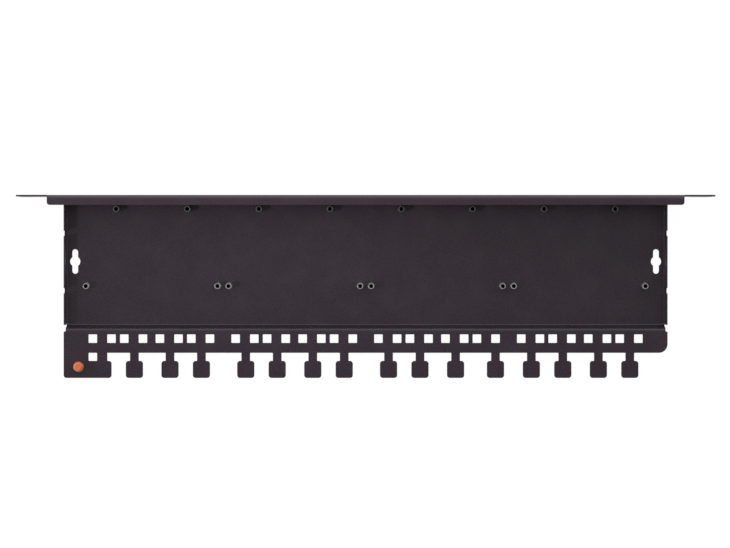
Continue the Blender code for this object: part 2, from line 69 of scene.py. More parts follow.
# Sheet metal
SHEET = 0.0012
FOLD_RADIUS = 0.0016          # inside radius of the long folds
SIDE_FOLD_RADIUS = 0.0010     # of the tray's side walls
REAR_LEAN = math.radians(5)   # of the rear wall, which the press leaves a little open
FOLD_STRIPS = 12
RIM_RADIUS = 0.00014          # of a cut edge under its coat
RIM_STEPS = 4
CORNER_STEPS = 7
HOLE_SIDES = 48
RELIEF_SLIT = 0.00005         # cut between the ends of neighbouring folds
RELIEF_BITE = 0.0003          # how far the cut reaches in past the start of a fold

# Channels, measured along the width
MODULES = [(number - 1.5) * 0.0995 for number in range(4)]
CHANNELS = sorted(module + offset for module in MODULES for offset in (-0.0343, -0.0124, 0.0124, 0.0343))

# Front panel
FLANGE_OVERHANG = 0.0094      # past the side of the tray
FLANGE_RADIUS = 0.0020
EAR_RADIUS = 0.0025
RACK_HOLE_INSET = 0.00875
RACK_HOLE_SPACING = 0.03175
RACK_HOLE_LENGTH = 0.0103
RACK_HOLE_HEIGHT = 0.0068
JACK_HOLE = 0.0115
JACK_HEIGHT = 0.02185

# Tray
END_INSET = 0.0014            # of the front and rear folds, from the outside of the side walls
EDGE_RADIUS = 0.0010
NOTCH_DEPTHS = (0.0265, 0.0665)
NOTCH_WIDTH = 0.0036
NOTCH_FOOT = 0.0026           # from the underside to the bottom of a notch
NOTCH_RADIUS = 0.0005
KEYHOLE_INSET = 0.0074
KEYHOLE_DEPTH = 0.0462
KEYHOLE_HEAD = 0.0071
KEYHOLE_SLOT = 0.0040
KEYHOLE_LENGTH = 0.0171
REAR_WALL_DEPTH = 0.0913
SIDE_WALL_GAP = 0.0009        # between a side wall's rear end and the rear wall
COMB_SHOULDER = 0.0037
SHOULDER_RADIUS = 0.0008
STUD_HOLE = 0.0050

# Comb
TIE_SLOT = 0.0059
TIE_SLOT_RADIUS = 0.0004
TIE_SLOT_SPREAD = 0.0130
TIE_SLOT_SETBACK = 0.00565
STRIP_DEPTH = 0.0185
STRIP_RADIUS = 0.0060
NECK_LENGTH = 0.0056
NECK_WIDTH = 0.0061
NECK_RADIUS = 0.0003
HEAD_WIDTH = 0.0120
HEAD_RADIUS = 0.0020
FINGER_OFFSET = -0.00055
ODD_FINGER = 12               # counted from the ground stud
ODD_FINGER_OFFSET = -0.0059

# Turned pieces
TURNED_SIDES = 24
THREAD_ROWS = ((0.0, 0.0), (0.22, 0.0), (0.54, 1.0), (0.68, 1.0))   # share of a pitch, share of the depth
RUNOUT_TURNS = 3              # of a thread past its ends, flattened into them
SHARP_ANGLE = math.radians(35)
BARREL = 0.0043
BARREL_HOLE = 0.0046
BARREL_CHAMFER = 0.0002
CLINCH_HEAD = 0.0056
CLINCH_POCKET = 0.0059
CLINCH_LEDGE = 0.00085        # depth of a pocket in the underside
CLINCH_HEAD_HEIGHT = 0.0007
SMALL_PITCH = 0.0005
SMALL_CREST = 0.00150
SMALL_ROOT = 0.00121
BORE_CREST = 0.00123
BORE_ROOT = 0.00144
BORE_MOUTH = 0.00155          # at the rim
BORE_FLOOR = 0.0017           # from the underside to the end of the thread
DRILL_POINT = 0.0001          # radius left at the tip of the drill's cone
DRILL_SLOPE = math.radians(31)
GROUND_PITCH = 0.0010
GROUND_CREST = 0.00300
GROUND_ROOT = 0.00245
GROUND_TIP = 0.00240
GROUND_FOOT = 0.0009          # height of the weld flange
PANEL_STUD_FOOT = 0.0006
NUT_FLATS = 0.0055
NUT_FLANGE_EDGE = 0.00045
NUT_FLANGE_HEIGHT = 0.0008
NUT_BORE = 0.00165
NUT_TOP = 0.00255             # radius of the flat on top of the hexagon
NUT_CHAMFER = math.radians(30)
FOOT_ROUND = 0.0002

# Finishes, with noise scales in waves per metre
NOISE_ROUGHNESS = 0.55
PEEL_SCALE = 1100.0
SAND_SCALE = 3600.0
DRIFT_SCALE = 16.0
TONE_RANGE = (1.15, 1.85)     # of peel, sand and drift together, from dark to light
GRAIN_RANGE = (0.7, 1.3)      # of peel and sand together
GRAIN_ROUGHNESS = (-0.06, 0.06)
PATCH_SCALE = 420.0
PATCH_RANGE = (0.35, 0.7)
PATCH_WEAR = (0.15, 0.8)
RIM_SMOOTHING = 0.12
VEIL_SCALE = 60.0
VEIL_RANGE = (0.45, 0.8)
SPECK_SCALE = 750.0
SPECK_RANGE = (0.83, 0.88)
UPWARD_RANGE = (0.5, 1.0)     # of a normal's rise, from no dust to all of it
CLOUD_SCALE = 380.0
CLOUD_TONES = (0.35, 0.7)     # from bright to dull
CLOUD_RANGE = (0.3, 0.7)
CLOUD_ROUGHNESS = (-0.06, 0.10)
RING_STRETCH = (1.0, 1.0, 0.25)
RING_WAVES = 42000.0          # radians per metre
COAT_BUMP = {"Strength": 0.15, "Distance": 0.00006}
PLATE_BUMP = {"Strength": 0.3, "Distance": 0.00002}
COAT_SPECULAR = 0.62
DUST_COLOUR = (0.30, 0.28, 0.27, 1.0)
# painted shade: the inside of a standoff's threaded bore is coloured near black
BORE_PAINTED_SHADE = (0.04, 0.04, 0.04, 1.0)
COAT = {
    "dark": (0.0312, 0.0184, 0.0290, 1.0),
    "light": (0.0430, 0.0252, 0.0400, 1.0),
    "thin_coat": (0.040, 0.026, 0.036, 1.0),
    "gloss": 0.29,
    "dust": 0.04,
}
# One zinc for all standoffs; the front copy is painted darker as the shade that the panel and its flange
# cast on the front row
REAR_ZINC = {"bright": (0.93, 0.89, 0.89, 1.0), "dull": (0.70, 0.66, 0.67, 1.0), "gloss": 0.28}
FRONT_ZINC_PAINTED_SHADE = {"bright": (0.44, 0.43, 0.43, 1.0), "dull": (0.26, 0.25, 0.26, 1.0), "gloss": 0.30}
NUT_ZINC = {"bright": (0.66, 0.65, 0.62, 1.0), "dull": (0.46, 0.45, 0.44, 1.0), "gloss": 0.30}
COPPER = {"bright": (0.98, 0.36, 0.18, 1.0), "dull": (0.92, 0.29, 0.13, 1.0), "gloss": 0.58}

# Studio
CAMERA_PLACE = (0.00042, -0.03338, 3.0)
CAMERA_TILT = math.radians(-0.4714)
SENSOR = 36.0                 # millimetres
LENS = 211.54                 # millimetres
FLOOR_DROP = 0.0002           # of the paper under the tray
FLOOR_REACH = 30.0
WHITE = (1.0, 1.0, 1.0, 1.0)
PAPER_COLOUR = (0.80, 0.80, 0.80, 1.0)
SHADOW_COLOUR = (0.10, 0.10, 0.10, 1.0)   # of the paper where the camera sees it
PAPER_GLOW = 0.97
STRAIGHT_AHEAD = -1.0         # of the panel, along Y
BACK_LIGHT = 0.12
FRONT_LIGHT = 1.25            # straight ahead of the panel
SIDE_LIGHT = 0.40             # added at either end
BACK_REACH = 0.16             # how far behind straight up the room is dim
KEY_PLACE = (1.35, 0.28, 1.62)
KEY_AIM = (0.055, -0.11, 0.0)
KEY_CONE = math.radians(10.4)
KEY_BLEND = 0.6
KEY_POWER = 55.0
KEY_SIZE = 0.08

# Worked out from the sizes above
QUARTER = math.pi / 2
TOLERANCE = 1e-6
SNAP = TOLERANCE / 10         # points this close are one
FOLD_MIDDLE = FOLD_RADIUS + SHEET / 2
FOLD_LENGTH = FOLD_MIDDLE * QUARTER
FOLD_TOP = SHEET / 2 + FOLD_MIDDLE
REAR_TURN = QUARTER - REAR_LEAN
REAR_LENGTH = FOLD_MIDDLE * REAR_TURN
SIDE_MIDDLE = SIDE_FOLD_RADIUS + SHEET / 2
SIDE_LENGTH = SIDE_MIDDLE * QUARTER
SIDE_TOP = SHEET / 2 + SIDE_MIDDLE
FLANGE_HALF = TRAY_HALF + FLANGE_OVERHANG
FOLD_HALF = TRAY_HALF - END_INSET
FRONT_FOLD = TRAY_FRONT + SHEET / 2 + FOLD_MIDDLE
REAR_FOLD = REAR_WALL_DEPTH - FOLD_RADIUS
SIDE_FOLD = TRAY_HALF - SHEET / 2 - SIDE_MIDDLE
SIDE_FRONT = FRONT_FOLD + 2 * RELIEF_SLIT
SIDE_REAR = REAR_FOLD - 2 * RELIEF_SLIT
SIDE_END = REAR_WALL_DEPTH - SIDE_WALL_GAP
RISER = (EDGE_HEIGHT - SHEET - 2 * FOLD_MIDDLE * (1 - math.cos(REAR_TURN))) / math.sin(REAR_TURN)
REAR_REACH = 2 * FOLD_MIDDLE * math.sin(REAR_TURN) + RISER * math.cos(REAR_TURN)
COMB_FOLD = REAR_FOLD + REAR_LENGTH + RISER
COMB_STRETCH = COMB_FOLD + REAR_LENGTH - REAR_FOLD - REAR_REACH   # blank depth less folded depth
STRIP_END = REAR_WALL_DEPTH + STRIP_DEPTH
HEAD_START = STRIP_END + NECK_LENGTH


# Outlines


def arc(x, y, radius, start, end, steps):
    angles = [start + (end - start) * step / steps for step in range(steps + 1)]
    return [(x + radius * math.cos(a), y + radius * math.sin(a)) for a in angles]


def circle(x, y, diameter, sides=HOLE_SIDES):
    return arc(x, y, diameter / 2, 0, 2 * math.pi, sides)[:-1]


def slot(x, y, length, height):
    """A slot along x with round ends."""
    reach = (length - height) / 2
    steps = HOLE_SIDES // 2
    right = arc(x + reach, y, height / 2, -QUARTER, QUARTER, steps)
    return right + arc(x - reach, y, height / 2, QUARTER, 3 * QUARTER, steps)


def keyhole(x, y):
    """A round head in the middle of a slot along y."""
    half = KEYHOLE_SLOT / 2
    head = KEYHOLE_HEAD / 2
    reach = KEYHOLE_LENGTH / 2 - half
    mouth = math.asin(half / head)
    steps = HOLE_SIDES // 3
    right = arc(x, y, head, mouth - QUARTER, QUARTER - mouth, steps)
    top = arc(x, y + reach, half, 0, math.pi, steps)
    left = arc(x, y, head, QUARTER + mouth, 3 * QUARTER - mouth, steps)
    return right + top + left + arc(x, y - reach, half, math.pi, 2 * math.pi, steps)


def rounded(corners):
    """Points of a closed outline whose corners are (x, y, radius)."""
    points = []
    for index, (x, y, radius) in enumerate(corners):
        if radius <= 0:
            points.append((x, y))
            continue
        corner = np.array((x, y))
        before = np.array(corners[index - 1][:2]) - corner
        after = np.array(corners[(index + 1) % len(corners)][:2]) - corner
        before /= np.linalg.norm(before)
        after /= np.linalg.norm(after)
        half_angle = math.acos(before @ after) / 2
        inward = (before + after) / np.linalg.norm(before + after)
        centre = corner + inward * radius / math.sin(half_angle)
        start = math.atan2(*(corner + before * radius / math.tan(half_angle) - centre)[::-1])
        end = math.atan2(*(corner + after * radius / math.tan(half_angle) - centre)[::-1])
        sweep = (end - start + math.pi) % (2 * math.pi) - math.pi
        points += arc(*centre, radius, start, start + sweep, CORNER_STEPS)
    return points


def rounded_rectangle(x, y, width, height, radius):
    sides = ((-1, -1), (1, -1), (1, 1), (-1, 1))
    return rounded([(x + i * width / 2, y + j * height / 2, radius) for i, j in sides])


def mirrored(corners):
    return [(-x, y, radius) for x, y, radius in reversed(corners)]


# Blanks


def turned_to(loop, hole):
    """The outline running with the metal on its left, and with no point twice."""
    points = np.array(loop)
    points = points[np.linalg.norm(points - np.roll(points, 1, axis=0), axis=1) > TOLERANCE]
    ahead = np.roll(points, -1, axis=0)
    area = (points[:, 0] * ahead[:, 1] - points[:, 1] * ahead[:, 0]).sum()
    return points[::-1] if (area < 0) != hole else points


def into_metal(points):
    """For each point, the move that shifts both edges beside it one unit into the metal."""
    ahead = np.roll(points, -1, axis=0) - points
    ahead /= np.linalg.norm(ahead, axis=1)[:, None]
    left = np.stack((-ahead[:, 1], ahead[:, 0]), axis=1)
    both = left + np.roll(left, 1, axis=0)
    return both * 2 / (both ** 2).sum(axis=1)[:, None]


def rim_rings(points, top, bottom, top_round=True, bottom_round=True):
    """Rings (points, lift, rim) down a cut edge between two lifts, with its round rims."""
    inward = into_metal(points)
    upper = round_rim(top, -1) if top_round else [(0, top, 1)]
    lower = round_rim(bottom, 1)[::-1] if bottom_round else [(0, bottom, 1)]
    return [(points + inset * inward, lift, rim) for inset, lift, rim in upper + lower]


def round_rim(face, inside):
    """Steps (inset, lift, rim) from a face of the sheet round to its cut edge."""
    angles = [QUARTER * step / RIM_STEPS for step in range(RIM_STEPS + 1)]
    return [
        (RIM_RADIUS * (1 - math.sin(a)), face + inside * RIM_RADIUS * (1 - math.cos(a)), math.sin(a))
        for a in angles
    ]


def cut(loop, hole=True):
    return rim_rings(turned_to(loop, hole), SHEET / 2, -SHEET / 2)


def clinch_cut(x, y):
    """A round hole for a standoff's barrel, over a hexagonal pocket for its head."""
    angles = -np.arange(TURNED_SIDES) * 2 * math.pi / TURNED_SIDES
    around = np.stack((np.cos(angles), np.sin(angles)), axis=1)
    round_hole = (x, y) + around * BARREL_HOLE / 2
    pocket = (x, y) + around * hexagon_radius(CLINCH_POCKET, angles)[:, None]
    ledge = CLINCH_LEDGE - SHEET / 2
    return rim_rings(round_hole, SHEET / 2, ledge, bottom_round=False) + rim_rings(
        pocket, ledge, -SHEET / 2, top_round=False
    )


def blank(cuts):
    """A flat sheet about z = 0, closed all round: the first cut is its outline, the others are holes."""
    shape = bmesh.new()
    rim_layer = shape.verts.layers.float.new("rim")
    edges = [ring_faces(shape, rim_layer, rings) for rings in cuts]
    fill(shape, [upper for upper, _ in edges])
    fill(shape, [lower for _, lower in edges])
    return shape


def ring_faces(shape, rim_layer, rings):
    """Faces from each ring to the next; returns the first loop and the last."""
    loops = []
    for points, lift, rim in rings:
        loop = [shape.verts.new((x, y, lift)) for x, y in points]
        for vert in loop:
            vert[rim_layer] = rim
        loops.append(loop)
    for above, below in zip(loops, loops[1:]):
        for index in range(len(above)):
            shape.faces.new((above[index - 1], above[index], below[index], below[index - 1]))
    return loops[0], loops[-1]


def fill(shape, loops):
    """Triangles between the first loop and the others."""
    inside_with_holes = 2
    verts = [vert for loop in loops for vert in loop]
    ends = np.cumsum([0] + [len(loop) for loop in loops])
    faces = [list(range(start, end)) for start, end in zip(ends, ends[1:])]
    places = [vert.co.xy for vert in verts]
    filled = geometry.delaunay_2d_cdt(places, [], faces, inside_with_holes, SNAP)
    triangles, sources = filled[2:4]
    for triangle in triangles:
        shape.faces.new([verts[sources[corner][0]] for corner in triangle])


def score(shape, start, axis, length):
    """Cut the blank along the strips of one fold, which runs along an axis from where it starts."""
    for step in range(FOLD_STRIPS + 1):
        place = Vector((0, 0, 0))
        place[axis] = start + length * step / FOLD_STRIPS
        normal = Vector((0, 0, 0))
        normal[axis] = 1
        geom = [*shape.verts, *shape.edges, *shape.faces]
        bmesh.ops.bisect_plane(shape, geom=geom, dist=SNAP, plane_co=place, plane_no=normal)


def fold(along, lift, start, turn, middle=FOLD_MIDDLE, full=QUARTER):
    """Where a fold takes points; turn is 1 for a fold towards +lift and -1 for the other way."""
    beyond = along - start
    angle = np.clip(beyond / middle, 0, full)
    rest = np.maximum(beyond - middle * full, 0)
    radius = middle - turn * lift
    folded_along = start + radius * np.sin(angle) + rest * np.cos(angle)
    folded_lift = turn * (middle - radius * np.cos(angle) + rest * np.sin(angle))
    flat = beyond <= 0
    return np.where(flat, along, folded_along), np.where(flat, lift, folded_lift)


def sheet_piece(name, shape, place, material):
    """A piece of a folded blank; place gives the positions of the blank's points."""
    points = np.array([vert.co for vert in shape.verts])
    for vert, position in zip(shape.verts, place(points)):
        vert.co = position
    bmesh.ops.recalc_face_normals(shape, faces=shape.faces)
    piece = piece_of(name, shape, material)
    piece.data.shade_smooth()
    weighted = piece.modifiers.new("flat faces stay flat", "WEIGHTED_NORMAL")
    weighted.keep_sharp = False
    return piece


def piece_of(name, shape, material):
    mesh = bpy.data.meshes.new(name)
    shape.to_mesh(mesh)
    shape.free()
    mesh.materials.append(material)
    piece = bpy.data.objects.new(name, mesh)
    bpy.context.scene.collection.objects.link(piece)
    return piece


# Front panel


def make_panel(material):
    bend = PANEL_HEIGHT - SHEET / 2 - FOLD_MIDDLE
    slit_foot = bend - RELIEF_BITE
    ear_side = FLANGE_HALF + RELIEF_SLIT
    flange_end = bend + FOLD_LENGTH + FLANGE_DEPTH - SHEET / 2 - FOLD_MIDDLE
    right = [
        (PANEL_HALF, 0, EAR_RADIUS),
        (PANEL_HALF, PANEL_HEIGHT, EAR_RADIUS),
        (ear_side, PANEL_HEIGHT, 0),
        (ear_side, slit_foot, 0),
        (FLANGE_HALF, slit_foot, 0),
        (FLANGE_HALF, flange_end, FLANGE_RADIUS),
    ]
    cuts = [cut(rounded(right + mirrored(right)), hole=False)]
    for x in (RACK_HOLE_INSET - PANEL_HALF, PANEL_HALF - RACK_HOLE_INSET):
        for z in (-RACK_HOLE_SPACING / 2, RACK_HOLE_SPACING / 2):
            cuts.append(cut(slot(x, PANEL_HEIGHT / 2 + z, RACK_HOLE_LENGTH, RACK_HOLE_HEIGHT)))
    cuts += [cut(circle(x, JACK_HEIGHT, JACK_HOLE)) for x in CHANNELS]

    def place(points):
        x, height, lift = points.T
        flange = np.abs(x) < FLANGE_HALF + TOLERANCE
        folded_height, folded_lift = fold(height, lift, bend, 1)
        height = np.where(flange, folded_height, height)
        lift = np.where(flange, folded_lift, lift)
        return np.stack((x, FRONT + SHEET / 2 + lift, height), axis=1)

    shape = blank(cuts)
    score(shape, bend, 1, FOLD_LENGTH)
    return sheet_piece("coated_panel", shape, place, material)


# Tray


def side_corners():
    """Outline of the blank's +X side, from the front edge to the comb."""
    wall_foot = SIDE_FOLD + SIDE_LENGTH
    wall_edge = wall_foot + EDGE_HEIGHT - SIDE_TOP
    front_edge = FRONT_FOLD - FOLD_LENGTH - EDGE_HEIGHT + FOLD_TOP
    slit = SIDE_FOLD - RELIEF_BITE
    notch_foot = wall_foot + NOTCH_FOOT - SIDE_TOP
    shoulder = REAR_WALL_DEPTH + COMB_SHOULDER + COMB_STRETCH
    half = NOTCH_WIDTH / 2
    corners = [
        (FOLD_HALF, front_edge, EDGE_RADIUS),
        (FOLD_HALF, FRONT_FOLD + RELIEF_SLIT, 0),
        (slit, FRONT_FOLD + RELIEF_SLIT, 0),
        (slit, SIDE_FRONT, 0),
        (wall_edge, SIDE_FRONT, EDGE_RADIUS),
    ]
    for depth in NOTCH_DEPTHS:
        corners += [
            (wall_edge, depth - half, NOTCH_RADIUS),
            (notch_foot, depth - half, half),
            (notch_foot, depth + half, half),
            (wall_edge, depth + half, NOTCH_RADIUS),
        ]
    corners += [
        (wall_edge, SIDE_END, EDGE_RADIUS),
        (SIDE_FOLD + SIDE_LENGTH / 2, SIDE_END, 0),
        (SIDE_FOLD + SIDE_LENGTH / 2, SIDE_REAR, 0),
        (slit, SIDE_REAR, 0),
        (slit, REAR_FOLD - RELIEF_SLIT, 0),
        (FOLD_HALF, REAR_FOLD - RELIEF_SLIT, 0),
        (FOLD_HALF, shoulder, SHOULDER_RADIUS),
        (TRAY_HALF, shoulder, NOTCH_RADIUS),
    ]
    return corners


def finger_corners(number, channel):
    """One finger from its +X side to its -X side; the first one's +X side is the ground plate."""
    middle = channel + FINGER_OFFSET
    if number == ODD_FINGER:
        middle += ODD_FINGER_OFFSET
    half = [
        (NECK_WIDTH / 2, STRIP_END, NECK_RADIUS),
        (NECK_WIDTH / 2, HEAD_START, NECK_RADIUS),
        (HEAD_WIDTH / 2, HEAD_START, HEAD_RADIUS),
        (HEAD_WIDTH / 2, TRAY_REAR, HEAD_RADIUS),
    ]
    corners = mirrored(half) if number == 1 else half + mirrored(half)
    return [(middle + x, depth + COMB_STRETCH, radius) for x, depth, radius in corners]


def tray_cuts():
    side = side_corners()
    outline = side + [(TRAY_HALF, TRAY_REAR + COMB_STRETCH, HEAD_RADIUS)]
    for number, channel in enumerate(reversed(CHANNELS), start=1):
        outline += finger_corners(number, channel)
    outline += [(-TRAY_HALF, STRIP_END + COMB_STRETCH, STRIP_RADIUS)] + mirrored(side)
    cuts = [cut(rounded(outline), hole=False)]

    slot_row = REAR_WALL_DEPTH + TIE_SLOT_SETBACK + TIE_SLOT / 2 + COMB_STRETCH
    for channel in CHANNELS:
        for x in (channel - TIE_SLOT_SPREAD / 2, channel + TIE_SLOT_SPREAD / 2):
            cuts.append(cut(rounded_rectangle(x, slot_row, TIE_SLOT, TIE_SLOT, TIE_SLOT_RADIUS)))
    plate_slot = (CHANNELS[-1] + TIE_SLOT_SPREAD / 2, STRIP_END + NECK_LENGTH / 2 + COMB_STRETCH)
    cuts.append(cut(rounded_rectangle(*plate_slot, TIE_SLOT, NECK_LENGTH, TIE_SLOT_RADIUS)))

    for x in (KEYHOLE_INSET - TRAY_HALF, TRAY_HALF - KEYHOLE_INSET):
        cuts.append(cut(keyhole(x, KEYHOLE_DEPTH)))
    for node in STANDOFFS:
        middle = middle_of(node)
        cuts.append(clinch_cut(middle.x, middle.y - FRONT))
    for node in PANEL_STUDS:
        middle = middle_of(node)
        cuts.append(cut(circle(middle.x, FRONT_FOLD - FOLD_LENGTH - middle.z + FOLD_TOP, STUD_HOLE)))
    return cuts


def make_tray(material):
    shape = blank(tray_cuts())
    score(shape, SIDE_FOLD, 0, SIDE_LENGTH)
    score(shape, -SIDE_FOLD, 0, -SIDE_LENGTH)
    score(shape, FRONT_FOLD, 1, -FOLD_LENGTH)
    score(shape, REAR_FOLD, 1, REAR_LENGTH)
    score(shape, COMB_FOLD, 1, REAR_LENGTH)

    def place(points):
        x, depth, lift = points.T
        side_rear = np.where(np.abs(x) > FOLD_HALF + TOLERANCE, SIDE_END, SIDE_REAR) + TOLERANCE
        on_side = (np.abs(x) > SIDE_FOLD) & (depth > SIDE_FRONT - TOLERANCE) & (depth < side_rear)
        reach, side_lift = fold(np.abs(x), lift, SIDE_FOLD, 1, SIDE_MIDDLE)
        x = np.where(on_side, np.sign(x) * reach, x)
        side_lift = np.where(on_side, side_lift, lift)
        depth, lift = fold(depth, lift, COMB_FOLD, -1, full=REAR_TURN)
        depth, lift = fold(depth, lift, REAR_FOLD, 1, full=REAR_TURN)
        ahead, lift = fold(-depth, lift, -FRONT_FOLD, 1)
        lift = np.where(on_side, side_lift, lift)
        return np.stack((x, FRONT - ahead, SHEET / 2 + lift), axis=1)

    return sheet_piece("folded_tray", shape, place, material)


# Turned pieces


def middle_of(node):
    low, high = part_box(node)
    return (low + high) / 2


def turned_angles():
    return np.arange(TURNED_SIDES) * 2 * math.pi / TURNED_SIDES


def hexagon_radius(flats, angles):
    """Distance from the middle of a hexagon to its side, with a corner on +Y."""
    return flats / 2 / np.cos((angles - QUARTER) % (math.pi / 3) - math.pi / 6)


def ring(shape, radius, height):
    """Points round Z; the radius and the height are numbers or change round the ring."""
    angles = turned_angles()
    places = np.stack((radius * np.cos(angles), radius * np.sin(angles), height + 0 * angles), axis=1)
    return [shape.verts.new(place) for place in places]


def skin(shape, rings):
    """Faces between each ring and the next."""
    loops = [ring(shape, radius, height) for radius, height in rings]
    for first, second in zip(loops, loops[1:]):
        for index in range(TURNED_SIDES):
            shape.faces.new((first[index - 1], first[index], second[index], second[index - 1]))
    return loops


def wind_thread(shape, crest, root, pitch, low, high):
    """A thread wound round Z from low to high, each (height, radius) where it runs out in a chamfer."""
    rows = len(THREAD_ROWS)
    turns = math.ceil((high[0] - low[0]) / pitch) + RUNOUT_TURNS
    rising = turned_angles() / (2 * math.pi)
    outward = math.copysign(1, crest - root)
    loops = []
    for turn in range(turns):
        for share, depth in THREAD_ROWS:
            height = low[0] + pitch * (turn - 1 + share + rising)
            radius = np.full(TURNED_SIDES, root + (crest - root) * depth)
            for end_height, end_radius in (low, high):
                cone = end_radius + outward * np.abs(end_height - height)
                radius = np.minimum(radius, cone) if outward > 0 else np.maximum(radius, cone)
            radius = np.where(height <= low[0], low[1], np.where(height >= high[0], high[1], radius))
            loops.append(ring(shape, radius, np.clip(height, low[0], high[0])))
    for index, (first, second) in enumerate(zip(loops, loops[1:])):
        for side in range(TURNED_SIDES - 1):
            shape.faces.new((first[side], first[side + 1], second[side + 1], second[side]))
        if index + 1 + rows < len(loops):
            shape.faces.new((first[-1], loops[index + rows][0], loops[index + 1 + rows][0], second[-1]))


def turned_mesh(shape, name, material):
    bmesh.ops.remove_doubles(shape, verts=shape.verts, dist=TOLERANCE)
    bmesh.ops.recalc_face_normals(shape, faces=shape.faces)
    mesh = bpy.data.meshes.new(name)
    shape.to_mesh(mesh)
    shape.free()
    mesh.materials.append(material)
    mesh.shade_smooth()
    mesh.set_sharp_from_angle(angle=SHARP_ANGLE)
    return mesh


def standoff_mesh(row, material):
    """Round barrel on a closed hexagonal clinch head, with a blind thread; it stands on its origin."""
    low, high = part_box(STANDOFFS[0])
    top = high.z - low.z
    head = hexagon_radius(CLINCH_HEAD, turned_angles())
    shape = bmesh.new()
    barrel = skin(shape, [
        (BORE_MOUTH, top),
        (BARREL / 2 - BARREL_CHAMFER, top),
        (BARREL / 2, top - BARREL_CHAMFER),
        (BARREL / 2, CLINCH_HEAD_HEIGHT),
        (head, CLINCH_HEAD_HEIGHT),
        (head, BARREL_CHAMFER),
        (head - BARREL_CHAMFER, 0),
    ])
    shape.faces.new(barrel[-1])
    wind_thread(shape, BORE_CREST, BORE_ROOT, SMALL_PITCH, (BORE_FLOOR, BORE_CREST), (top, BORE_MOUTH))
    cone = (BORE_CREST - DRILL_POINT) * math.tan(DRILL_SLOPE)
    drilled = skin(shape, [(BORE_CREST, BORE_FLOOR), (DRILL_POINT, BORE_FLOOR - cone)])
    shape.faces.new(drilled[-1])
    mesh = turned_mesh(shape, f"{row}_standoff", material)
    # marks the inside of the bore, where the zinc is painted dark as shade
    bore_shade = mesh.attributes.new("bore_shade", "FLOAT", "POINT")
    for vert, value in zip(mesh.vertices, bore_shade.data):
        inside = vert.co.xy.length < BORE_MOUTH + TOLERANCE and vert.co.z > TOLERANCE
        value.value = 1.0 if inside and vert.co.z < top - TOLERANCE else 0.0
    return mesh


def stud_mesh(name, length, flange, foot, crest, root, tip, pitch, material):
    """Weld stud along Z, standing on its flange."""
    shape = bmesh.new()
    base = skin(shape, [
        (flange - FOOT_ROUND, 0),
        (flange, FOOT_ROUND),
        (flange, foot - FOOT_ROUND),
        (flange - FOOT_ROUND, foot),
        (root, foot),
    ])
    shape.faces.new(base[0])
    wind_thread(shape, crest, root, pitch, (foot, root), (length, tip))
    shape.faces.new(ring(shape, tip, length))
    return turned_mesh(shape, name, material)


def nut_mesh(height, flange, material):
    """Flange nut along Z, standing on its flange, with a chamfered hexagon."""
    hexagon = hexagon_radius(NUT_FLATS, turned_angles())
    shape = bmesh.new()
    loops = skin(shape, [
        (NUT_BORE, 0),
        (flange - FOOT_ROUND, 0),
        (flange, FOOT_ROUND),
        (flange, NUT_FLANGE_EDGE),
        (hexagon, NUT_FLANGE_HEIGHT),
        (hexagon, height - (hexagon - NUT_TOP) * math.tan(NUT_CHAMFER)),
        (NUT_TOP, height),
        (NUT_BORE + FOOT_ROUND, height),
        (NUT_BORE, height - FOOT_ROUND),
    ])
    for index in range(TURNED_SIDES):
        shape.faces.new((loops[-1][index - 1], loops[-1][index], loops[0][index], loops[0][index - 1]))
    return turned_mesh(shape, "flange_nut", material)


def stand_in(name, mesh, node, place, rotation=(0, 0, 0)):
    piece = bpy.data.objects.new(name, mesh)
    bpy.context.scene.collection.objects.link(piece)
    piece.location = place
    piece.rotation_euler = rotation
    hand_over(piece, node)


def hand_over(piece, node):
    """The piece rides on the frame in place of its plain solid."""
    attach(piece, "root")
    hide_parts(node)


def make_standoffs(row, material):
    mesh = standoff_mesh(row, material)
    for node in STANDOFFS:
        if row in node:
            middle = middle_of(node)
            stand_in(f"threaded_{node}", mesh, node, (middle.x, middle.y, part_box(node)[0].z))


def make_ground_stud(material):
    low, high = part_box("ground_stud")
    middle = middle_of("ground_stud")
    mesh = stud_mesh(
        "ground_stud_thread",
        high.z - low.z,
        (high.x - low.x) / 2,
        GROUND_FOOT,
        GROUND_CREST,
        GROUND_ROOT,
        GROUND_TIP,
        GROUND_PITCH,
        material,
    )
    stand_in("threaded_ground_stud", mesh, "ground_stud", (middle.x, middle.y, low.z))


def make_panel_fasteners(stud_material, nut_material):
    low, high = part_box(PANEL_STUDS[0])
    stud = stud_mesh(
        "panel_stud_thread",
        high.y - low.y,
        (high.x - low.x) / 2,
        PANEL_STUD_FOOT,
        SMALL_CREST,
        SMALL_ROOT,
        SMALL_ROOT - FOOT_ROUND / 2,
        SMALL_PITCH,
        stud_material,
    )
    low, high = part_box(PANEL_NUTS[0])
    nut = nut_mesh(high.y - low.y, (high.x - low.x) / 2, nut_material)
    for nodes, mesh, word, slot_name in (
        (PANEL_STUDS, stud, "threaded", "copper_plate"),
        (PANEL_NUTS, nut, "chamfered", "zinc_plate"),
    ):
        for node in nodes:
            middle = middle_of(node)
            place = (middle.x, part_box(node)[0].y, middle.z)
            stand_in(f"{word}_{node}", mesh, node, place, (-QUARTER, 0, 0))


# Finishes


def feed(tree, node, inputs):
    """Give a node's sockets their values, or the outputs that feed them."""
    for name, value in inputs.items():
        if isinstance(value, bpy.types.NodeSocket):
            tree.links.new(value, node.inputs[name])
        else:
            node.inputs[name].default_value = value
    return node


def add(tree, kind, inputs=None, **settings):
    """A shader node with its settings and inputs."""
    made = tree.nodes.new("ShaderNode" + kind)
    for name, value in settings.items():
        setattr(made, name, value)
    return feed(tree, made, inputs or {})


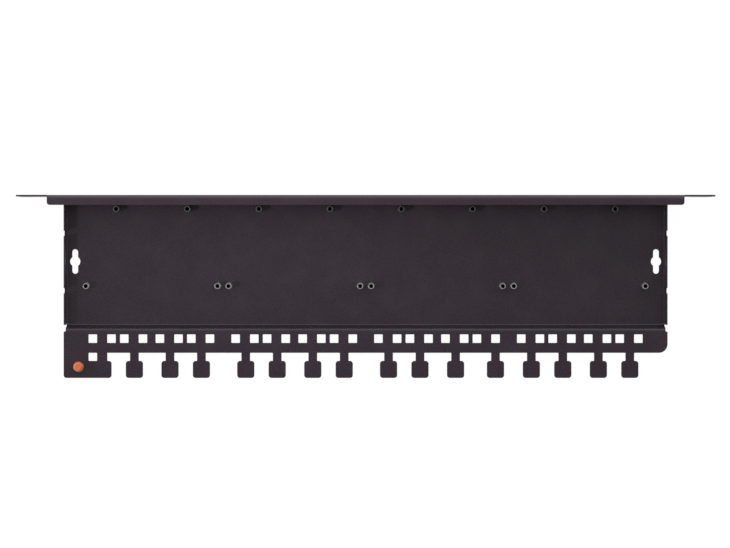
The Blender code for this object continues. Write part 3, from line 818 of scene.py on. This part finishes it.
def new_group(name, inputs, outputs):
    """An empty node group with its named sockets; returns its tree and its input and output nodes."""
    tree = bpy.data.node_groups.new(name, "ShaderNodeTree")
    kinds = {"float": "NodeSocketFloat", "colour": "NodeSocketColor", "vector": "NodeSocketVector"}
    for in_out, sockets in (("INPUT", inputs), ("OUTPUT", outputs)):
        for socket, kind in sockets.items():
            tree.interface.new_socket(name=socket, in_out=in_out, socket_type=kinds[kind])
    return tree, tree.nodes.new("NodeGroupInput"), tree.nodes.new("NodeGroupOutput")


def place_group(tree, group, inputs):
    return add(tree, "Group", inputs, node_tree=group)


def combine(tree, operation, first, second):
    return add(tree, "Math", {0: first, 1: second}, operation=operation).outputs[0]


def mix_colour(tree, share, first, second):
    """Two colours mixed; in the mixing node, sockets 6 and 7 take colours and output 2 gives one."""
    mixed = add(tree, "Mix", {0: share, 6: first, 7: second}, data_type="RGBA")
    return mixed.outputs[2]


def spread(tree, value, low, high, to_low=0.0, to_high=1.0):
    """A value brought from one range to another and held within it."""
    inputs = {"Value": value, "From Min": low, "From Max": high, "To Min": to_low, "To Max": to_high}
    return add(tree, "MapRange", inputs).outputs[0]


def noise(tree, where, scale, detail):
    inputs = {"Vector": where, "Scale": scale, "Detail": detail, "Roughness": NOISE_ROUGHNESS}
    return add(tree, "TexNoise", inputs).outputs["Fac"]


def coat_grain_group():
    """Baked powder: a fine peel with a finer sand in it, and broad drifts of tone."""
    tree, given, result = new_group(
        "coat_grain",
        {"Where": "vector", "Dark": "colour", "Light": "colour", "Gloss": "float"},
        {"Colour": "colour", "Roughness": "float", "Height": "float"},
    )
    where = given.outputs["Where"]
    peel = noise(tree, where, PEEL_SCALE, detail=1.0)
    sand = noise(tree, where, SAND_SCALE, detail=1.0)
    drift = noise(tree, where, DRIFT_SCALE, detail=3.0)
    grain = combine(tree, "ADD", peel, sand)
    tone = spread(tree, combine(tree, "ADD", grain, drift), *TONE_RANGE)
    shade = mix_colour(tree, tone, given.outputs["Dark"], given.outputs["Light"])
    rough = spread(tree, grain, *GRAIN_RANGE, *GRAIN_ROUGHNESS)
    rough = combine(tree, "ADD", rough, given.outputs["Gloss"])
    feed(tree, result, {"Colour": shade, "Roughness": rough, "Height": grain})
    return tree


def rim_wear_group():
    """The coat draws thin on cut rims, which look a little paler and smoother."""
    tree, given, result = new_group(
        "rim_wear",
        {
            "Where": "vector",
            "Rim": "float",
            "Colour": "colour",
            "Thin Coat": "colour",
            "Roughness": "float",
        },
        {"Colour": "colour", "Roughness": "float"},
    )
    patches = noise(tree, given.outputs["Where"], PATCH_SCALE, detail=2.0)
    wear = spread(tree, patches, *PATCH_RANGE, *PATCH_WEAR)
    share = combine(tree, "MULTIPLY", given.outputs["Rim"], wear)
    shade = mix_colour(tree, share, given.outputs["Colour"], given.outputs["Thin Coat"])
    drop = combine(tree, "MULTIPLY", share, RIM_SMOOTHING)
    rough = combine(tree, "SUBTRACT", given.outputs["Roughness"], drop)
    feed(tree, result, {"Colour": shade, "Roughness": rough})
    return tree


def dust_group():
    """A breath of dust and a few specks on what faces up."""
    tree, given, result = new_group(
        "dust",
        {"Where": "vector", "Colour": "colour", "Dust": "colour", "Amount": "float"},
        {"Colour": "colour"},
    )
    where = given.outputs["Where"]
    normal = add(tree, "NewGeometry").outputs["Normal"]
    rise = add(tree, "SeparateXYZ", {0: normal}).outputs["Z"]
    veil = spread(tree, noise(tree, where, VEIL_SCALE, detail=4.0), *VEIL_RANGE)
    specks = spread(tree, noise(tree, where, SPECK_SCALE, detail=0.0), *SPECK_RANGE)
    share = combine(tree, "ADD", veil, specks)
    share = combine(tree, "MULTIPLY", share, spread(tree, rise, *UPWARD_RANGE))
    share = combine(tree, "MULTIPLY", share, given.outputs["Amount"])
    shade = mix_colour(tree, share, given.outputs["Colour"], given.outputs["Dust"])
    feed(tree, result, {"Colour": shade})
    return tree


def plating_group():
    """Plated metal: cloudy tone, the fine rings that turning leaves round the axis, and painted shade
    darkening the inside of bores.
    """
    tree, given, result = new_group(
        "plating",
        {"Where": "vector", "Bore Shade": "float", "Bright": "colour", "Dull": "colour", "Gloss": "float"},
        {"Colour": "colour", "Roughness": "float", "Height": "float"},
    )
    where = given.outputs["Where"]
    clouds = noise(tree, where, CLOUD_SCALE, detail=3.0)
    flat = add(tree, "VectorMath", {0: where, 1: RING_STRETCH}, operation="MULTIPLY").outputs[0]
    reach = add(tree, "VectorMath", {0: flat}, operation="LENGTH").outputs["Value"]
    waves = combine(tree, "MULTIPLY", reach, RING_WAVES)
    rings = add(tree, "Math", {0: waves}, operation="SINE").outputs[0]
    tone = spread(tree, clouds, *CLOUD_TONES)
    shade = mix_colour(tree, tone, given.outputs["Bright"], given.outputs["Dull"])
    # painted shade: the marked inside of a bore is darkened to near black
    shade = mix_colour(tree, given.outputs["Bore Shade"], shade, BORE_PAINTED_SHADE)
    rough = spread(tree, clouds, *CLOUD_RANGE, *CLOUD_ROUGHNESS)
    rough = combine(tree, "ADD", rough, given.outputs["Gloss"])
    height = combine(tree, "ADD", rings, clouds)
    feed(tree, result, {"Colour": shade, "Roughness": rough, "Height": height})
    return tree


def new_finish(name):
    """A material with its tree, its shader and the place on the piece."""
    material = bpy.data.materials.new(name)
    material.use_nodes = True
    tree = material.node_tree
    where = add(tree, "TexCoord").outputs["Object"]
    return material, tree, tree.nodes["Principled BSDF"], where


def powder_coat(name, groups, dark, light, thin_coat, gloss, dust):
    material, tree, shader, where = new_finish(name)
    coat = place_group(tree, groups["coat_grain"], {
        "Where": where,
        "Dark": dark,
        "Light": light,
        "Gloss": gloss,
    })
    worn = place_group(tree, groups["rim_wear"], {
        "Where": where,
        "Rim": add(tree, "Attribute", attribute_name="rim").outputs["Fac"],
        "Colour": coat.outputs["Colour"],
        "Thin Coat": thin_coat,
        "Roughness": coat.outputs["Roughness"],
    })
    dusty = place_group(tree, groups["dust"], {
        "Where": where,
        "Colour": worn.outputs["Colour"],
        "Dust": DUST_COLOUR,
        "Amount": dust,
    })
    bump = add(tree, "Bump", {**COAT_BUMP, "Height": coat.outputs["Height"]})
    feed(tree, shader, {
        "Base Color": dusty.outputs["Colour"],
        "Roughness": worn.outputs["Roughness"],
        "Normal": bump.outputs["Normal"],
        "Specular IOR Level": COAT_SPECULAR,
    })
    return material


def plated(name, groups, bright, dull, gloss):
    material, tree, shader, where = new_finish(name)
    plate = place_group(tree, groups["plating"], {
        "Where": where,
        "Bore Shade": add(tree, "Attribute", attribute_name="bore_shade").outputs["Fac"],
        "Bright": bright,
        "Dull": dull,
        "Gloss": gloss,
    })
    bump = add(tree, "Bump", {**PLATE_BUMP, "Height": plate.outputs["Height"]})
    feed(tree, shader, {
        "Base Color": plate.outputs["Colour"],
        "Roughness": plate.outputs["Roughness"],
        "Normal": bump.outputs["Normal"],
        "Metallic": 1.0,
    })
    return material


# Studio


def make_camera():
    """Straight above, a touch in front of the middle, with the front panel at the top of the picture."""
    camera = bpy.data.objects.new("camera", bpy.data.cameras.new("camera"))
    bpy.context.scene.collection.objects.link(camera)
    camera.location = CAMERA_PLACE
    camera.rotation_euler = (CAMERA_TILT, 0.0, math.pi)
    camera.data.sensor_width = SENSOR
    camera.data.lens = LENS
    bpy.context.scene.camera = camera


def make_floor():
    """White paper that stays white to the camera and keeps a faint shadow."""
    shape = bmesh.new()
    bmesh.ops.create_grid(shape, x_segments=1, y_segments=1, size=FLOOR_REACH)
    material = bpy.data.materials.new("white_paper")
    material.use_nodes = True
    tree = material.node_tree
    tree.nodes.remove(tree.nodes["Principled BSDF"])
    paper = add(tree, "BsdfDiffuse", {"Color": PAPER_COLOUR})
    shadow = add(tree, "BsdfDiffuse", {"Color": SHADOW_COLOUR})
    glow = add(tree, "Emission", {"Color": WHITE, "Strength": PAPER_GLOW})
    seen = add(tree, "AddShader", {0: shadow.outputs[0], 1: glow.outputs[0]})
    mixed = add(tree, "MixShader", {0: seen_directly(tree), 1: paper.outputs[0], 2: seen.outputs[0]})
    tree.links.new(mixed.outputs[0], tree.nodes["Material Output"].inputs["Surface"])
    floor = piece_of("floor", shape, material)
    floor.location.z = -FLOOR_DROP


def seen_directly(tree):
    """1 for rays from the camera, and for what shows in metal and through glass."""
    path = add(tree, "LightPath").outputs
    seen = combine(tree, "MAXIMUM", path["Is Camera Ray"], path["Is Glossy Ray"])
    return combine(tree, "MAXIMUM", seen, path["Is Transmission Ray"])


def make_room():
    """A plain pale room, brightest on the side that the panel faces and dim behind."""
    world = bpy.data.worlds.new("studio")
    world.use_nodes = True
    tree = world.node_tree
    way = add(tree, "SeparateXYZ", {0: add(tree, "TexCoord").outputs["Generated"]}).outputs
    level = spread(tree, way["Y"], BACK_REACH, STRAIGHT_AHEAD, BACK_LIGHT, FRONT_LIGHT)
    side = add(tree, "Math", {0: way["X"]}, operation="ABSOLUTE").outputs[0]
    level = add(tree, "Math", {0: side, 1: SIDE_LIGHT, 2: level}, operation="MULTIPLY_ADD").outputs[0]
    feed(tree, tree.nodes["Background"], {"Color": WHITE, "Strength": level})
    bpy.context.scene.world = world


def make_key():
    """A lamp at the ground stud's end, whose soft cone leaves the far end dimmer."""
    lamp = bpy.data.objects.new("key", bpy.data.lights.new("key", "SPOT"))
    bpy.context.scene.collection.objects.link(lamp)
    lamp.location = KEY_PLACE
    lamp.rotation_euler = (Vector(KEY_AIM) - Vector(KEY_PLACE)).to_track_quat("-Z", "Y").to_euler()
    lamp.data.energy = KEY_POWER
    lamp.data.spot_size = KEY_CONE
    lamp.data.spot_blend = KEY_BLEND
    lamp.data.shadow_soft_size = KEY_SIZE
    lamp.visible_camera = False


def main():
    bpy.context.scene.view_settings.view_transform = "Standard"
    make_camera()
    make_floor()
    make_room()
    make_key()
    groups = {
        "coat_grain": coat_grain_group(),
        "rim_wear": rim_wear_group(),
        "dust": dust_group(),
        "plating": plating_group(),
    }
    coat = powder_coat("powder_coat", groups, **COAT)
    rear_zinc = plated("bright_zinc", groups, **REAR_ZINC)
    front_zinc_painted_shade = plated("zinc_painted_shade", groups, **FRONT_ZINC_PAINTED_SHADE)
    nut_zinc = plated("nut_zinc", groups, **NUT_ZINC)
    copper = plated("copper_plate", groups, **COPPER)

    hand_over(make_panel(coat), "front_panel")
    hand_over(make_tray(coat), "tray")
    # the front row takes the zinc with painted shade
    make_standoffs("front", front_zinc_painted_shade)
    make_standoffs("rear", rear_zinc)
    make_ground_stud(copper)
    make_panel_fasteners(copper, nut_zinc)


main()
